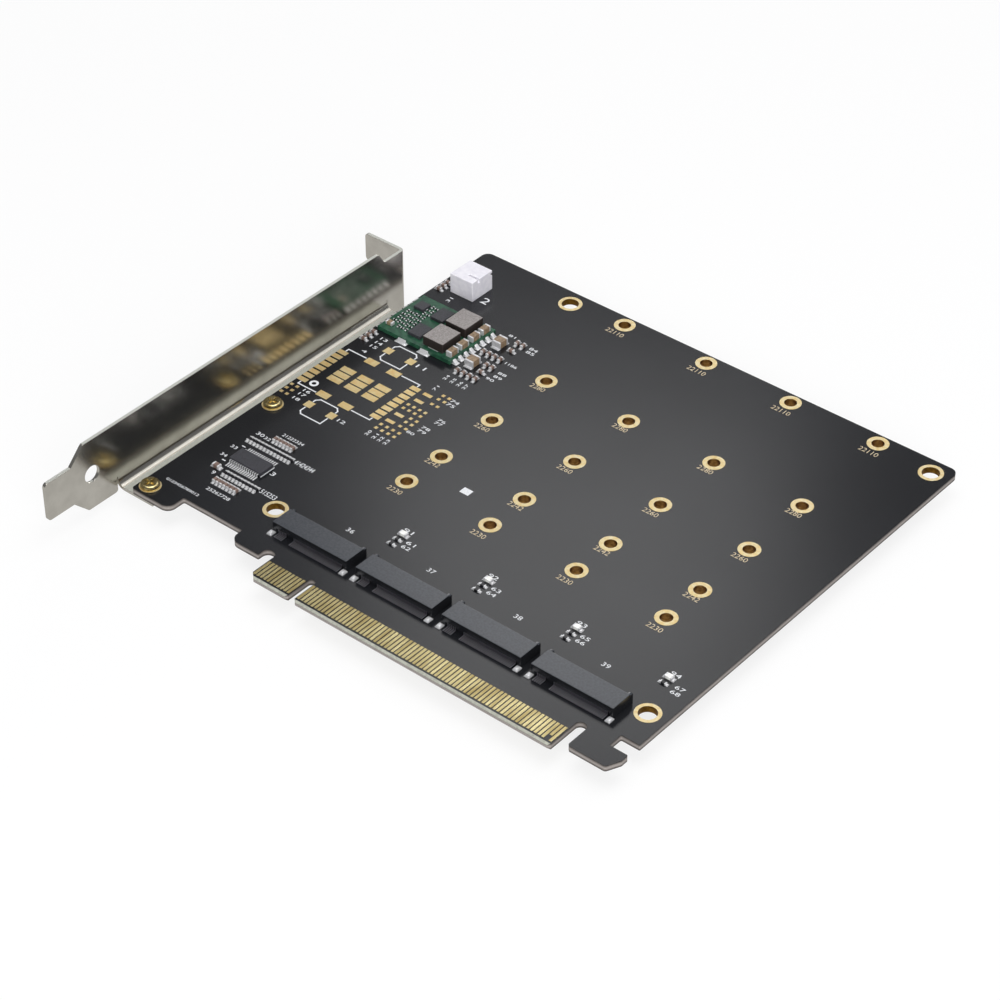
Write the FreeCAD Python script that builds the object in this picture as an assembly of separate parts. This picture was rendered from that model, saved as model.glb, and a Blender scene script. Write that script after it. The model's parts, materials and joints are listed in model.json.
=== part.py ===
import FreeCAD, Part
import os
from math import atan2, degrees, hypot, sin, tan
from FreeCAD import Vector

# Full-height add-in card, x16 edge connector, that carries four M-key module sockets.
# Origin: middle of the connector key notch, on the edge that enters the slot, at mid thickness.
# +X runs along the edge connector away from the bracket, +Y from the connector up the card,
# +Z out of the component side. All sizes are in mm.

os.makedirs("parts", exist_ok=True)

# ---------------------------------------------------------------- driving dimensions
BOARD_T = 1.57            # board thickness
BOARD_LEFT = -53.7        # bracket-side edge
BOARD_RIGHT = 86.3        # far edge
BOARD_TOP = 130.0         # edge opposite the connector
CORNER_R = 2.0            # outer corners of the board
COPPER_T = 0.06           # raised copper and plating

KEY_HALF = 0.95           # half width of the key notch
KEY_DEPTH = 7.8
TAB_LEFT = -12.15         # edge-connector tab
TAB_RIGHT = 72.15
TAB_DEPTH = 6.5           # how far the shoulder stands back from the connecting edge
TAB_CHAMFER = 1.4
KEY_CHAMFER = 0.6
BEVEL_Y, BEVEL_Z = 0.5, 0.4
RELIEF_LEFT_W = 3.3       # relief slots beside the tab
RELIEF_LEFT_TOP = 9.4
RELIEF_RIGHT_W = 2.75
RELIEF_RIGHT_TOP = 9.8

EAR_RIGHT = -42.1         # ear that carries the lower bracket screw
EAR_BOTTOM = 5.4
EAR_R = 2.2
RECESS_Y = 10.4           # straight edge between ear and shoulder
RECESS_END = -23.9
SHOULDER_R = 2.2
HOOK_BOTTOM = 2.4         # retention hook beyond the tab
HOOK_CHAMFER = 0.5
HOOK_SLOPE_X, HOOK_SLOPE_Y = 1.6, 3.4
HOOK_SLOT_X = 81.5
HOOK_SLOT_Y0, HOOK_SLOT_Y1 = 7.9, 11.8

PAD_PITCH = 1.0           # edge contacts
PAD_W = 0.7
PAD_Y0, PAD_Y1 = 1.0, 6.4
PAD_SHORT_Y0 = 2.5        # the presence-detect contact mates last
PAD_FIRST_X = -11.5
PADS_BEFORE_KEY = 11
PAD_AFTER_KEY_X = 1.5
PADS_AFTER_KEY = 71

FAN_PITCH = 105.0         # hole pattern of a 120 mm fan
FAN_X, FAN_Y = 29.15, 73.0
FAN_BORE, FAN_BARREL, FAN_RING = 4.2, 4.6, 6.0

SOCKETS = 4               # module sockets side by side
SOCKET_X0 = -7.55
SOCKET_W = 21.9           # length of a socket housing
SOCKET_GAP = 2.7          # room between two housings
SOCKET_PITCH = SOCKET_W + SOCKET_GAP
ROW_30 = 46.9             # screw row of the shortest module
ROWS = (("2230", 0.0), ("2242", 12.0), ("2260", 30.0), ("2280", 50.0), ("22110", 80.0))
NUT_BORE, NUT_SHANK, NUT_BODY, NUT_RING = 3.0, 4.0, 5.2, 5.3
NUT_DROP = 1.5            # nut body below the solder side

SOCKET_H = 2.8
SOCKET_BACK = 14.5        # wall that faces the edge connector
SOCKET_DEPTH = 5.8
SOCKET_ARM = 0.9          # side arms reach past the mouth
SOCKET_WALL = 1.0
SLOT_Z0, SLOT_H, SLOT_DEPTH = 0.95, 1.05, 4.3
CONTACTS_SHORT, CONTACTS_KEY, CONTACTS_LONG = 5, 4, 29
CONTACT_W = 0.22
CONTACT_INSET = 1.7       # from the end of a housing to its first contact
CONTACT_FIRST = CONTACT_INSET - SOCKET_W / 2
CONTACT_PITCH = (SOCKET_W - 2 * CONTACT_INSET) / (CONTACTS_SHORT + CONTACTS_KEY + CONTACTS_LONG - 1)
CONTACT_TAIL, CONTACT_T, RISER_H = 1.5, 0.15, 1.1
FRONT_FOOT_IN, FRONT_FOOT_OUT, FRONT_CUT_H = 1.0, 0.6, 0.45
BACK_CUT, BACK_CUT_H = 0.5, 1.2
ARM_H, KEY_RIB = 2.4, 1.1
HOLD_W, HOLD_L, HOLD_H = 1.3, 1.7, 0.25

SHEET = 0.86              # bracket sheet
BRACKET_X = -58.19        # face of the bracket towards the board
BRACKET_Z0 = -2.52        # its edge on the solder side
BRACKET_W = 18.42
BRACKET_TIP = -15.72      # end of the tongue, below the connecting edge
BRACKET_L = 120.02
BRACKET_TOP = BRACKET_TIP + BRACKET_L       # outer face of the screw tab
TONGUE_W = 10.19
TONGUE_L = 7.9
TONGUE_R = 1.0
BRACKET_FULL_W = 21.59    # over the shifted tab end
TOP_SHIFT = BRACKET_FULL_W - BRACKET_W      # the tab end stands this far towards the solder side
TOP_STEP_L, TOP_STEP_RUN = 7.4, 2.1
TAB_D = 11.43             # screw tab depth beyond the bracket
NOTCH_W = 4.42            # open notch for the screw
NOTCH_Z = 8.6             # notch centre above the solder-side edge of the tab
NOTCH_DEPTH = 6.5
TAB_R = 0.9
BRACKET_HOLE_D, BRACKET_HOLE_Y = 4.4, -1.8
FLANGE_Y0 = 5.6           # flange under the board
FLANGE_Y1 = BRACKET_TOP - 7.1
FLANGE_RELIEF = 0.2       # the strip is cut free this far beside the flange
FLANGE_X1 = -47.4
BEND_R = 0.4              # inner radius of the bend at the screw tab
FOLD_R = 2.0              # inner radius of the fold at the flange
SCREW_X = -50.9
SCREW_YS = (8.6, 48.8)
SCREW_D, SCREW_HEAD_D, SCREW_HEAD_H = 3.0, 4.6, 1.1
SCREW_RING, SCREW_PILOT = 5.2, 2.9
SCREW_DOME, SCREW_END = 0.66, 0.6
CROSS_W, CROSS_L, CROSS_DEPTH = 0.55, 2.6, 0.77

REG_X, REG_Y = -40.8, 67.7         # footprint of the spare regulator
REG_W, REG_L, REG_T = 23.0, 17.0, 1.1
REG_STEP = REG_L + 11.0            # the fitted regulator sits one step further up
REG_PAD_PITCH, REG_PADS = 2.0, 8

CHIP_X, CHIP_Y = -38.8, 28.95      # clock buffer in a 28-lead package
CHIP_BODY_X, CHIP_BODY_Y, CHIP_H = 9.7, 4.4, 1.0
CHIP_SPAN, CHIP_PITCH, CHIP_LEADS = 6.4, 0.65, 14

HEADER_X0, HEADER_X1 = -49.3, -42.2
HEADER_Y0, HEADER_Y1 = 110.7, 118.3
HEADER_H, HEADER_WALL = 5.5, 0.8

TOP = BOARD_T / 2         # component side
BOT = -BOARD_T / 2        # solder side


# ---------------------------------------------------------------- helpers
def box(x0, x1, y0, y1, z0, z1):
    return Part.makeBox(x1 - x0, y1 - y0, z1 - z0, Vector(x0, y0, z0))


def centred(x, y, w, l, z0, z1):
    return box(x - w / 2, x + w / 2, y - l / 2, y + l / 2, z0, z1)


def rod(x, y, d, z0, z1):
    return Part.makeCylinder(d / 2, z1 - z0, Vector(x, y, z0))


def ring(x, y, outer, inner, z0, z1):
    return rod(x, y, outer, z0, z1).cut(rod(x, y, inner, z0, z1))


def save(name, solids):
    shape = solids[0] if len(solids) == 1 else Part.makeCompound(solids)
    shape.exportStep("parts/" + name + ".step")


def outline(points):
    """Closed wire through (x, y, radius) points; a radius of 0 leaves the corner sharp."""
    n = len(points)
    ends = []
    for i, (x, y, r) in enumerate(points):
        p = Vector(x, y, 0)
        a = Vector(points[i - 1][0], points[i - 1][1], 0)
        b = Vector(points[(i + 1) % n][0], points[(i + 1) % n][1], 0)
        u, v = (a - p).normalize(), (b - p).normalize()
        if r == 0:
            ends.append((p, p, None))
            continue
        half = u.getAngle(v) / 2
        reach = r / tan(half)
        middle = p + (u + v).normalize() * (r / sin(half) - r)
        ends.append((p + u * reach, p + v * reach, middle))
    edges = []
    for i in range(n):
        start, end, middle = ends[i]
        if middle is not None:
            edges.append(Part.Arc(start, middle, end).toShape())
        following = ends[(i + 1) % n][0]
        if (following - end).Length > 1e-6:
            edges.append(Part.LineSegment(end, following).toShape())
    return Part.Wire(Part.__sortEdges__(edges))


def plate(points, z0, z1):
    solid = Part.Face(outline(points)).extrude(Vector(0, 0, z1 - z0))
    solid.translate(Vector(0, 0, z0))
    return solid


# ---------------------------------------------------------------- hole and part positions
columns = [SOCKET_X0 + i * SOCKET_PITCH for i in range(SOCKETS)]
fan_holes = [(FAN_X + i * FAN_PITCH / 2, FAN_Y + j * FAN_PITCH / 2) for i in (-1, 1) for j in (-1, 1)]
screw_holes = [(SCREW_X, y) for y in SCREW_YS]
nut_holes = [(x, ROW_30 + dy) for _, dy in ROWS for x in columns]
pads_x = [PAD_FIRST_X + i * PAD_PITCH for i in range(PADS_BEFORE_KEY)]
pads_x += [PAD_AFTER_KEY_X + i * PAD_PITCH for i in range(PADS_AFTER_KEY)]

# ---------------------------------------------------------------- board
relief_l, relief_r = RELIEF_LEFT_W / 2, RELIEF_RIGHT_W / 2
hook_left = TAB_RIGHT + RELIEF_RIGHT_W
board = plate([
    (BOARD_LEFT, BOARD_TOP, CORNER_R),
    (BOARD_LEFT, EAR_BOTTOM, 0.8),
    (EAR_RIGHT, EAR_BOTTOM, EAR_R),
    (EAR_RIGHT, RECESS_Y, 0.5),
    (RECESS_END, RECESS_Y, 0.3),
    (RECESS_END, TAB_DEPTH, SHOULDER_R),
    (TAB_LEFT - RELIEF_LEFT_W, TAB_DEPTH, 0.3),
    (TAB_LEFT - RELIEF_LEFT_W, RELIEF_LEFT_TOP, relief_l * 0.98),
    (TAB_LEFT, RELIEF_LEFT_TOP, relief_l * 0.98),
    (TAB_LEFT, TAB_CHAMFER, 0),
    (TAB_LEFT + TAB_CHAMFER, 0, 0),
    (-KEY_HALF - KEY_CHAMFER, 0, 0),
    (-KEY_HALF, KEY_CHAMFER, 0),
    (-KEY_HALF, KEY_DEPTH, KEY_HALF * 0.98),
    (KEY_HALF, KEY_DEPTH, KEY_HALF * 0.98),
    (KEY_HALF, KEY_CHAMFER, 0),
    (KEY_HALF + KEY_CHAMFER, 0, 0),
    (TAB_RIGHT - KEY_CHAMFER, 0, 0),
    (TAB_RIGHT, KEY_CHAMFER, 0),
    (TAB_RIGHT, RELIEF_RIGHT_TOP, relief_r * 0.98),
    (hook_left, RELIEF_RIGHT_TOP, relief_r * 0.98),
    (hook_left, HOOK_BOTTOM + HOOK_CHAMFER, 0),
    (hook_left + HOOK_CHAMFER, HOOK_BOTTOM, 0),
    (BOARD_RIGHT - HOOK_SLOPE_X, HOOK_BOTTOM, 0.8),
    (BOARD_RIGHT, HOOK_BOTTOM + HOOK_SLOPE_Y, 0.8),
    (BOARD_RIGHT, HOOK_SLOT_Y0, 0.3),
    (HOOK_SLOT_X, HOOK_SLOT_Y0, 0.4),
    (HOOK_SLOT_X, HOOK_SLOT_Y1, 0.4),
    (BOARD_RIGHT, HOOK_SLOT_Y1, 0.2),
    (BOARD_RIGHT, BOARD_TOP, CORNER_R),
], BOT, TOP)
bores = [rod(x, y, FAN_BARREL, BOT, TOP) for x, y in fan_holes]
bores += [rod(x, y, NUT_SHANK, BOT, TOP) for x, y in nut_holes]
bores += [rod(x, y, SCREW_D, BOT, TOP) for x, y in screw_holes]
for side in (1, -1):
    # the connecting edge is bevelled on both faces
    wedge = Part.Face(Part.makePolygon([
        Vector(TAB_LEFT - 1, 0, side * TOP), Vector(TAB_LEFT - 1, BEVEL_Y, side * TOP),
        Vector(TAB_LEFT - 1, 0, side * (TOP - BEVEL_Z)), Vector(TAB_LEFT - 1, 0, side * TOP)]))
    bores.append(wedge.extrude(Vector(TAB_RIGHT - TAB_LEFT + 2, 0, 0)))

# ---------------------------------------------------------------- edge contacts
front_pads, back_pads = [], []
for number, x in enumerate(pads_x, 1):
    short_front = number == len(pads_x) - 1
    short_back = number == 1
    front_pads.append(box(x - PAD_W / 2, x + PAD_W / 2, PAD_SHORT_Y0 if short_front else PAD_Y0, PAD_Y1,
                          TOP, TOP + COPPER_T))
    back_pads.append(box(x - PAD_W / 2, x + PAD_W / 2, PAD_SHORT_Y0 if short_back else PAD_Y0, PAD_Y1,
                         BOT - COPPER_T, BOT))
save("edge_contacts_component_side", front_pads)
save("edge_contacts_solder_side", back_pads)

# ---------------------------------------------------------------- plated holes and module nuts
save("fan_hole_rings", [
    ring(x, y, FAN_BARREL, FAN_BORE, BOT - COPPER_T, TOP + COPPER_T)
    .fuse([ring(x, y, FAN_RING, FAN_BORE, TOP, TOP + COPPER_T),
           ring(x, y, FAN_RING, FAN_BORE, BOT - COPPER_T, BOT)]).removeSplitter()
    for x, y in fan_holes])
for name, dy in ROWS:
    nuts = []
    for x in columns:
        y = ROW_30 + dy
        nut = rod(x, y, NUT_SHANK, BOT, TOP).fuse(rod(x, y, NUT_BODY, BOT - NUT_DROP, BOT))
        nuts.append(nut.removeSplitter().cut(rod(x, y, NUT_BORE, BOT - NUT_DROP, TOP)))
    save("module_nuts_" + name, nuts)
save("module_nut_rings", [ring(x, y, NUT_RING, NUT_BORE, TOP, TOP + COPPER_T) for x, y in nut_holes])
save("bracket_screw_rings", [ring(x, y, SCREW_RING, SCREW_D, TOP, TOP + COPPER_T) for x, y in screw_holes])

# ---------------------------------------------------------------- bracket
# Flat strip, drawn in Y (along) and Z (across), then turned up to stand beside the board.
half = (BRACKET_W - TONGUE_W) / 2
neck = BRACKET_TIP + TONGUE_L
shoulder = neck + half
z_low, z_high = BRACKET_Z0, BRACKET_Z0 + BRACKET_W
z_tab, z_step = z_low - TOP_SHIFT, z_high - TOP_SHIFT
flange_z = BOT - SHEET
body_top = BRACKET_TOP - SHEET - BEND_R


def strip(points):
    """Sheet in the YZ plane, from the face towards the board outwards."""
    face = Part.Face(outline(points))
    solid = face.extrude(Vector(0, 0, -SHEET))
    place = FreeCAD.Placement(Vector(BRACKET_X, 0, 0), FreeCAD.Rotation(Vector(0, 1, 0), Vector(0, 0, 1),
                                                                       Vector(1, 0, 0), "XYZ"))
    solid.Placement = place
    return solid


notch_floor = flange_z + SHEET + FOLD_R + 0.3     # the lower edge stands back to where the fold starts
relief_y0, relief_y1 = FLANGE_Y0 - FLANGE_RELIEF, FLANGE_Y1 + FLANGE_RELIEF
step_y = BRACKET_TOP - TOP_STEP_L
main_strip = strip([
    (BRACKET_TIP, z_low + half, TONGUE_R), (neck, z_low + half, 0), (shoulder, z_low, 0.8),
    (relief_y0, z_low, 0.8), (relief_y0, notch_floor, 0), (relief_y1, notch_floor, 0),
    (relief_y1, z_tab, 0.8), (body_top, z_tab, 0), (body_top, z_step, 0),
    (step_y, z_step, 0.8), (step_y - TOP_STEP_RUN, z_high, 0.8),
    (shoulder, z_high, 0.8), (neck, z_high - half, 0), (BRACKET_TIP, z_high - half, TONGUE_R)])
hole_start = Vector(BRACKET_X - 2 * SHEET, BRACKET_HOLE_Y, (z_low + z_high) / 2)
main_strip = main_strip.cut(Part.makeCylinder(BRACKET_HOLE_D / 2, 3 * SHEET, hole_start, Vector(1, 0, 0)))


def bend(length, plane, radius):
    """L section of the sheet with round inner and outer corner: the flange and the screw tab."""
    outer = SHEET + radius
    leg_a, leg_b = plane
    section = Part.Face(outline([
        (0, 0, outer), (leg_a, 0, 0), (leg_a, SHEET, 0), (SHEET, SHEET, radius), (SHEET, leg_b, 0),
        (0, leg_b, 0)]))
    return section.extrude(Vector(0, 0, length))


flange = bend(FLANGE_Y1 - FLANGE_Y0, (FLANGE_X1 - BRACKET_X + SHEET, notch_floor - flange_z), FOLD_R)
flange.Placement = FreeCAD.Placement(
    Vector(BRACKET_X - SHEET, FLANGE_Y1, flange_z),
    FreeCAD.Rotation(Vector(1, 0, 0), Vector(0, 0, 1), Vector(0, -1, 0), "XYZ"))
tab = bend(BRACKET_W, (TAB_D + SHEET, SHEET + BEND_R), BEND_R)
tab.Placement = FreeCAD.Placement(
    Vector(BRACKET_X, BRACKET_TOP, z_tab),
    FreeCAD.Rotation(Vector(-1, 0, 0), Vector(0, -1, 0), Vector(0, 0, 1), "XYZ"))
tab_end = BRACKET_X - SHEET - TAB_D
notch_z = z_tab + NOTCH_Z
notch = box(tab_end - 1, tab_end + NOTCH_DEPTH - NOTCH_W / 2, body_top - 1, BRACKET_TOP + 1,
            notch_z - NOTCH_W / 2, notch_z + NOTCH_W / 2)
notch = notch.fuse(Part.makeCylinder(NOTCH_W / 2, SHEET + BEND_R + 2,
                                     Vector(tab_end + NOTCH_DEPTH - NOTCH_W / 2, body_top - 1, notch_z),
                                     Vector(0, 1, 0)))
tab = tab.cut(notch)
outer_edges = [e for e in tab.Edges
               if abs(e.BoundBox.XMin - tab_end) < 0.01 and e.BoundBox.XLength < 0.01
               and e.BoundBox.ZLength < 0.01 and e.BoundBox.YLength > SHEET * 0.9]
tab = tab.makeFillet(TAB_R, outer_edges)
bracket = main_strip.fuse([flange, tab]).removeSplitter()
bracket = bracket.cut([rod(x, y, SCREW_PILOT, flange_z - 1, BOT + 0.1) for x, y in screw_holes])
save("bracket", [bracket])

# ---------------------------------------------------------------- bracket screws
screws = []
for x, y in screw_holes:
    z = TOP + COPPER_T
    head = rod(x, y, SCREW_HEAD_D, z, z + SCREW_HEAD_H)
    top_edge = [e for e in head.Edges if abs(e.BoundBox.ZMin - z - SCREW_HEAD_H) < 1e-4
                and e.BoundBox.ZLength < 1e-4]
    head = head.makeFillet(SCREW_DOME, top_edge)
    shaft = rod(x, y, SCREW_PILOT, flange_z - SCREW_END, z)
    cross = [centred(x, y, w, l, z + SCREW_HEAD_H - CROSS_DEPTH, z + SCREW_HEAD_H + 1)
             for w, l in ((CROSS_W, CROSS_L), (CROSS_L, CROSS_W))]
    screws.append(head.fuse(shaft).cut(cross))
save("bracket_screws", screws)

# ---------------------------------------------------------------- module sockets
pin_slots = list(range(CONTACTS_SHORT)) + [CONTACTS_SHORT + CONTACTS_KEY + i for i in range(CONTACTS_LONG)]
key_x = CONTACT_FIRST + (CONTACTS_SHORT + (CONTACTS_KEY - 1) / 2) * CONTACT_PITCH
mouth = SOCKET_BACK + SOCKET_DEPTH
for number, cx in enumerate(columns, 1):
    left, right = cx - SOCKET_W / 2, cx + SOCKET_W / 2
    housing = box(left, right, SOCKET_BACK, mouth, TOP, TOP + SOCKET_H)
    arms = [box(x, x + SOCKET_WALL, mouth, mouth + SOCKET_ARM, TOP, TOP + ARM_H)
            for x in (left, right - SOCKET_WALL)]
    slot = box(left + SOCKET_WALL, right - SOCKET_WALL, mouth - SLOT_DEPTH, mouth + 0.1,
               TOP + SLOT_Z0, TOP + SLOT_Z0 + SLOT_H)
    rib = box(cx + key_x - KEY_RIB / 2, cx + key_x + KEY_RIB / 2, mouth - SLOT_DEPTH, mouth,
              TOP + SLOT_Z0, TOP + SLOT_Z0 + SLOT_H)
    under = box(left + SOCKET_WALL, right - SOCKET_WALL, mouth - FRONT_FOOT_IN, mouth + 1,
                TOP, TOP + FRONT_CUT_H)
    under_back = box(left + SOCKET_WALL, right - SOCKET_WALL, SOCKET_BACK - 1, SOCKET_BACK + BACK_CUT,
                     TOP, TOP + BACK_CUT_H)
    housing = housing.fuse(arms).removeSplitter().cut([slot, under, under_back]).fuse(rib).removeSplitter()
    save("socket_%d_housing" % number, [housing])
    contacts = []
    for i in pin_slots:
        x0 = cx + CONTACT_FIRST + i * CONTACT_PITCH - CONTACT_W / 2
        foot = box(x0, x0 + CONTACT_W, SOCKET_BACK - CONTACT_TAIL, SOCKET_BACK + 2 * CONTACT_T,
                   TOP, TOP + CONTACT_T)
        riser = box(x0, x0 + CONTACT_W, SOCKET_BACK + CONTACT_T, SOCKET_BACK + 2 * CONTACT_T,
                    TOP, TOP + RISER_H)
        x1 = x0 + CONTACT_PITCH / 2
        front = box(x1, x1 + CONTACT_W, mouth - FRONT_FOOT_IN, mouth + FRONT_FOOT_OUT, TOP, TOP + CONTACT_T)
        contacts += [foot.fuse(riser).removeSplitter(), front]
    save("socket_%d_contacts" % number, contacts)
    save("socket_%d_solder_tabs" % number, [
        box(x - HOLD_W / 2, x + HOLD_W / 2, SOCKET_BACK - HOLD_L, SOCKET_BACK, TOP, TOP + HOLD_H)
        for x in (left + SOCKET_WALL / 4, right - SOCKET_WALL / 4)])

# ---------------------------------------------------------------- small two-terminal parts
# A part is (x, y, size, upright). A size is length, width, height and length of an end cap.
R0402, R0603, C0603 = (1.0, 0.5, 0.35, 0.25), (1.6, 0.8, 0.45, 0.35), (1.6, 0.8, 0.8, 0.35)
C0805, C1206, C1210 = (2.0, 1.25, 0.9, 0.45), (3.0, 1.6, 1.5, 0.5), (3.2, 2.5, 1.8, 0.55)
LED0805 = (2.0, 1.25, 0.8, 0.4)
PAD_REACH = 0.5           # solder pad beyond the end of a part
PACK = 1.07               # spacing of parts in a tight row

fitted_pads, spare_pads = [], []


def spans(part, ends, z0, z1):
    """Boxes across the whole width of a part, between distances from its middle along it."""
    x, y, size, upright = part
    half_w = size[1] / 2
    if upright:
        return [box(x - half_w, x + half_w, y + a, y + b, z0, z1) for a, b in ends]
    return [box(x + a, x + b, y - half_w, y + half_w, z0, z1) for a, b in ends]


def pads_of(part):
    end, cap = part[2][0] / 2, part[2][3]
    ends = ((-end - PAD_REACH, cap - end), (end - cap, end + PAD_REACH))
    return spans(part, ends, TOP, TOP + COPPER_T)


def fit(name, parts, z):
    """Saves the bodies and the end caps of a group of parts that stand at height z."""
    bodies, terminals = [], []
    for part in parts:
        length, _, height, cap = part[2]
        end = length / 2
        bodies += spans(part, ((cap - end, end - cap),), z, z + height)
        terminals += spans(part, ((-end, cap - end), (end - cap, end)), z, z + height)
    save(name + "_bodies", bodies)
    save(name + "_terminals", terminals)


def fit_on_board(name, parts):
    fit(name, parts, TOP + COPPER_T)
    for part in parts:
        fitted_pads.extend(pads_of(part))


# ---------------------------------------------------------------- parts around each regulator
# Distances from the middle of the regulator footprint. The spare place has pads only.
fitted_y = REG_Y + REG_STEP
reg_edge = REG_W / 2
OUTPUT_COLUMN_X, OUTPUT_DYS = reg_edge + 3.9, (5.4, -4.7)
# first x, spacing and y of each row of four parts
CHIP_ROWS = ((reg_edge + 2.8, 1.75, 0.5), (reg_edge + 3.0, 1.85, -9.3))
CHIP_PAIRS_X, CHIP_PAIR_STEP, CHIP_PAIR_DYS = reg_edge + 6.9, 1.8, (8.3, -3.3)
LEVEL_X, LEVEL_DYS = reg_edge + 7.8, (5.0, -6.2)
INPUT_X, INPUT_DYS = 0.2 - reg_edge, (-13.7, -11.9, -10.1)

output_capacitors = [(REG_X + OUTPUT_COLUMN_X, fitted_y + dy, C1210, True) for dy in OUTPUT_DYS]
side_chips = [(REG_X + x0 + i * step, fitted_y + dy, C0603, True)
              for x0, step, dy in CHIP_ROWS for i in range(4)]
side_chips += [(REG_X + CHIP_PAIRS_X + i * CHIP_PAIR_STEP, fitted_y + dy, C0603, True)
               for dy in CHIP_PAIR_DYS for i in (0, 1)]
side_chips += [(REG_X + LEVEL_X, fitted_y + dy, C0603, False) for dy in LEVEL_DYS]
input_chips = [(REG_X + INPUT_X, fitted_y + dy, C0603, False) for dy in INPUT_DYS]
fit_on_board("output_capacitor", output_capacitors)
fit_on_board("regulator_side_chip", side_chips)
fit_on_board("input_chip", input_chips)
for x, y, size, upright in output_capacitors + side_chips + input_chips:
    spare_pads += pads_of((x, y - REG_STEP, size, upright))
save("spare_part_pads", spare_pads)

# ---------------------------------------------------------------- regulator footprints
EDGE_PAD_W, EDGE_PAD_L = 2.7, 1.45
END_PAD_W, END_PAD_L, END_PAD_DX = 3.5, 2.1, 3.5
FIELD_PAD_W, FIELD_PAD_L, FIELD_DX, FIELD_DY = 4.0, 1.9, reg_edge - 6.0, 2.3
BULK_PAD, BULK_DX, BULK_DY = 2.2, 3.5, -(REG_L / 2 + 4.95)


def edge_rows():
    """Distances along Y of the pads in one side column of a regulator."""
    return [(i - (REG_PADS - 1) / 2) * REG_PAD_PITCH for i in range(REG_PADS)]


def footprint(y):
    pads = []
    for side in (-1, 1):
        pads += [centred(REG_X + side * REG_W / 2, y + dy, EDGE_PAD_W, EDGE_PAD_L, TOP, TOP + COPPER_T)
                 for dy in edge_rows()]
        pads += [centred(REG_X + dx, y + side * REG_L / 2, END_PAD_W, END_PAD_L, TOP, TOP + COPPER_T)
                 for dx in (-END_PAD_DX, END_PAD_DX)]
    return pads


field = [centred(REG_X + i * FIELD_DX, REG_Y + j * FIELD_DY, FIELD_PAD_W, FIELD_PAD_L, TOP, TOP + COPPER_T)
         for i in (-1, 0, 1) for j in (-1, 0, 1)]
save("spare_regulator_pads", footprint(REG_Y) + field)
save("bulk_capacitor_pads", [
    centred(REG_X + dx, y + BULK_DY, BULK_PAD, BULK_PAD, TOP, TOP + COPPER_T)
    for dx in (-BULK_DX, BULK_DX) for y in (REG_Y, fitted_y)])
fitted_pads += footprint(fitted_y)

# ---------------------------------------------------------------- fitted regulator
INDUCTOR_W, INDUCTOR_L, INDUCTOR_H, INDUCTOR_FOOT, FOOT_L = 6.2, 6.7, 2.6, 0.15, 1.2
INDUCTOR_DX, INDUCTOR_DY = reg_edge - 6.2, (REG_L - INDUCTOR_L) / 2 - 1.0
STAGE_W, STAGE_L, STAGE_H = 3.9, 4.8, 0.9
STAGE_DX = INDUCTOR_DX - (INDUCTOR_W + STAGE_W) / 2 - 1.85
CONTROLLER, CONTROLLER_H, CONTROLLER_DX, CONTROLLER_DY = 3.0, 0.8, 3.4 - reg_edge, 4.1
STRIP_DX, STRIP_DYS = reg_edge - 1.4, (-5.9, -2.1, 2.1, 5.9)     # capacitors along the output edge
TAN_DX, TAN_DY = 1.9 - reg_edge, -6.0
GRID_DX, GRID_DY, GRID_STEP_X, GRID_STEP_Y = 1.7 - reg_edge, -5.6, 1.25, 1.6
GRID_GAP = 0.2            # room between the grid and the power stages
grid_end = STAGE_DX - STAGE_W / 2 - GRID_GAP - R0402[0] / 2
grid_columns = int((grid_end - GRID_DX) / GRID_STEP_X) + 1
JOINT_RISE = 0.9          # share of the edge that the solder climbs

reg_z0 = TOP + COPPER_T
reg_top = reg_z0 + REG_T
save("regulator_board", [centred(REG_X, fitted_y, REG_W, REG_L, reg_z0, reg_top)])
coils = [(REG_X + INDUCTOR_DX, fitted_y + side * INDUCTOR_DY) for side in (-1, 1)]
coil_z = reg_top + INDUCTOR_FOOT
save("regulator_inductors", [
    centred(x, y, INDUCTOR_W, INDUCTOR_L, coil_z, coil_z + INDUCTOR_H) for x, y in coils])
save("regulator_inductor_terminals", [
    centred(x, y + side * (INDUCTOR_L - FOOT_L) / 2, INDUCTOR_W / 2, FOOT_L, reg_top, coil_z)
    for x, y in coils for side in (-1, 1)])
save("regulator_power_stages", [
    centred(REG_X + STAGE_DX, y, STAGE_W, STAGE_L, reg_top, reg_top + STAGE_H) for _, y in coils])
save("regulator_controller", [centred(REG_X + CONTROLLER_DX, fitted_y + CONTROLLER_DY, CONTROLLER, CONTROLLER,
                                      reg_top, reg_top + CONTROLLER_H)])
strip_capacitors = [(REG_X + STRIP_DX, fitted_y + dy, C1206, True) for dy in STRIP_DYS]
strip_capacitors.append((REG_X + TAN_DX, fitted_y + TAN_DY, C0805, False))
fit("regulator_capacitor", strip_capacitors, reg_top)


def taken(i, j):
    """Places in the grid of small parts that the controller and the tan capacitor use."""
    return (i < 3 and j > 4) or (i < 2 and j < 1)


grid_x = [REG_X + GRID_DX + i * GRID_STEP_X for i in range(grid_columns)]
grid_y = [fitted_y + GRID_DY + j * GRID_STEP_Y for j in range(8)]
grid_chips = [(x, y, R0402, (i + j) % 2 == 0)
              for i, x in enumerate(grid_x) for j, y in enumerate(grid_y) if not taken(i, j)]
fit("regulator_chip", grid_chips, reg_top)


def fillet(x, y, along, out, width, reach):
    """Solder wedge on the edge of the regulator board: along is its width, out points away."""
    a = Vector(x, y, reg_z0) - along * (width / 2)
    face = Part.Face(Part.makePolygon([a, a + out * reach, a + Vector(0, 0, JOINT_RISE * REG_T), a]))
    return face.extrude(along * width)


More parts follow.
